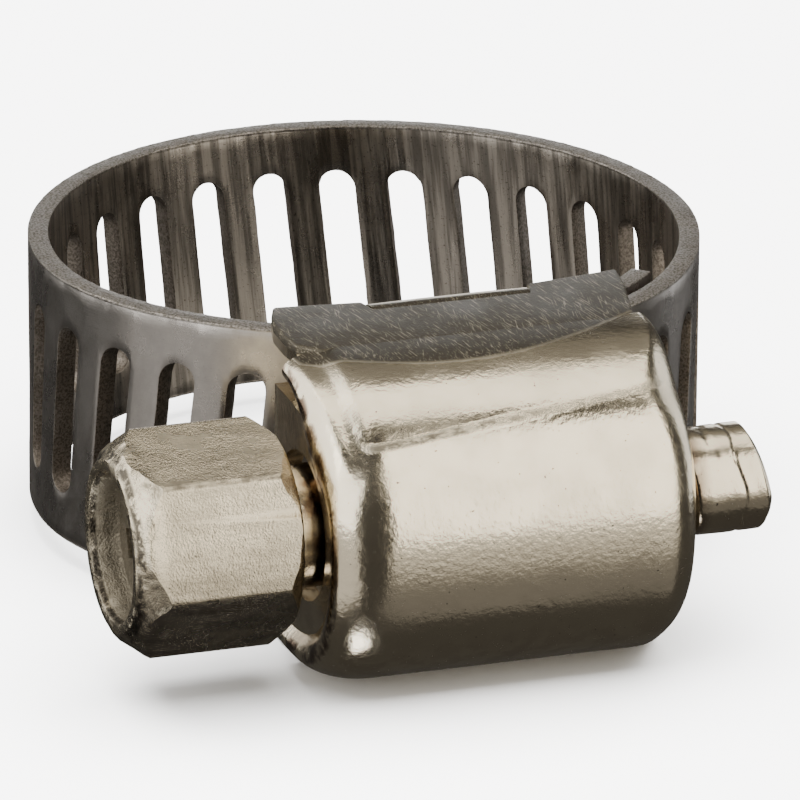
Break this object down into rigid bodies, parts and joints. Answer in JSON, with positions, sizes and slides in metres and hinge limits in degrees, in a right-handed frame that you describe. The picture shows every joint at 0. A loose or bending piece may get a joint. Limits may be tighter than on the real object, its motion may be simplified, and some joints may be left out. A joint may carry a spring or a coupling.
{
  "type": "worm-drive hose clamp",
  "caption": "Worm-drive hose clamp: a slotted steel band runs through a domed housing, where a hex-head worm screw draws its free end in and tightens the ring.",
  "frame": {"origin": "centre of the hose ring, halfway up the band", "axes": "+Z along the hose, +Y away from the housing, +X from the screw's hex head to its tail"},
  "size_m": [0.0213, 0.0262, 0.0094],
  "materials": {
    "band_steel": "bare rolled stainless strip, blue-grey and satin outside, darker and streaked inside, with sheared grainy edges",
    "housing_nickel": "bright nickel plate with a warm cast over pressed sheet, fine orange peel, pits and rubbed scratches",
    "screw_nickel": "nickel plate over cold-headed steel, worn at the corners, brown tarnish at the neck and the thread run-out"
  },
  "bodies": {
    "housing": {"housing": "housing_nickel", "band_fixed_end": "band_steel"},
    "screw": {"worm_screw": "screw_nickel"},
    "link_01": {"band_link_01": "band_steel"},
    "link_02": {"band_link_02": "band_steel"},
    "link_03": {"band_link_03": "band_steel"},
    "link_04": {"band_link_04": "band_steel"},
    "link_05": {"band_link_05": "band_steel"},
    "link_06": {"band_link_06": "band_steel"},
    "link_07": {"band_link_07": "band_steel"},
    "link_08": {"band_link_08": "band_steel"},
    "link_09": {"band_link_09": "band_steel"},
    "free_end": {"band_free_end": "band_steel"}
  },
  "joints": [
    {"name": "screw_turn", "type": "hinge", "parent": "housing", "child": "screw", "pos_m": [0, -0.01241, 0], "axis": [1, 0, 0], "range_deg": [0, 1080]},
    {"name": "band_flex_01", "type": "hinge", "parent": "housing", "child": "link_01", "pos_m": [-0.00579, -0.00662, 0], "axis": [0, 0, 1], "range_deg": [-6.53, 0]},
    {"name": "band_flex_02", "type": "hinge", "parent": "link_01", "child": "link_02", "pos_m": [-0.00858, -0.00352, 0], "axis": [0, 0, 1], "range_deg": [-4.98, 0]},
    {"name": "band_flex_03", "type": "hinge", "parent": "link_02", "child": "link_03", "pos_m": [-0.00947, 0.00052, 0], "axis": [0, 0, 1], "range_deg": [-3.48, 0]},
    {"name": "band_flex_04", "type": "hinge", "parent": "link_03", "child": "link_04", "pos_m": [-0.00833, 0.00453, 0], "axis": [0, 0, 1], "range_deg": [-2.26, 0]},
    {"name": "band_flex_05", "type": "hinge", "parent": "link_04", "child": "link_05", "pos_m": [-0.00558, 0.00766, 0], "axis": [0, 0, 1], "range_deg": [-1.57, 0]},
    {"name": "band_flex_06", "type": "hinge", "parent": "link_05", "child": "link_06", "pos_m": [-0.00176, 0.00932, 0], "axis": [0, 0, 1], "range_deg": [-1.53, 0]},
    {"name": "band_flex_07", "type": "hinge", "parent": "link_06", "child": "link_07", "pos_m": [0.0024, 0.00917, 0], "axis": [0, 0, 1], "range_deg": [-2.15, 0]},
    {"name": "band_flex_08", "type": "hinge", "parent": "link_07", "child": "link_08", "pos_m": [0.0061, 0.00725, 0], "axis": [0, 0, 1], "range_deg": [-3.31, 0]},
    {"name": "band_flex_09", "type": "hinge", "parent": "link_08", "child": "link_09", "pos_m": [0.00862, 0.00394, 0], "axis": [0, 0, 1], "range_deg": [-4.79, 0]},
    {"name": "band_flex_10", "type": "hinge", "parent": "link_09", "child": "free_end", "pos_m": [0.00948, -0.00014, 0], "axis": [0, 0, 1], "range_deg": [-6.29, 0]}
  ],
  "couplings": [
    {"joint": "band_flex_01", "follows": "screw_turn", "ratio": -0.006031},
    {"joint": "band_flex_02", "follows": "screw_turn", "ratio": -0.004595},
    {"joint": "band_flex_03", "follows": "screw_turn", "ratio": -0.003204},
    {"joint": "band_flex_04", "follows": "screw_turn", "ratio": -0.002083},
    {"joint": "band_flex_05", "follows": "screw_turn", "ratio": -0.001442},
    {"joint": "band_flex_06", "follows": "screw_turn", "ratio": -0.001404},
    {"joint": "band_flex_07", "follows": "screw_turn", "ratio": -0.001977},
    {"joint": "band_flex_08", "follows": "screw_turn", "ratio": -0.003051},
    {"joint": "band_flex_09", "follows": "screw_turn", "ratio": -0.004417},
    {"joint": "band_flex_10", "follows": "screw_turn", "ratio": -0.005813}
  ]
}
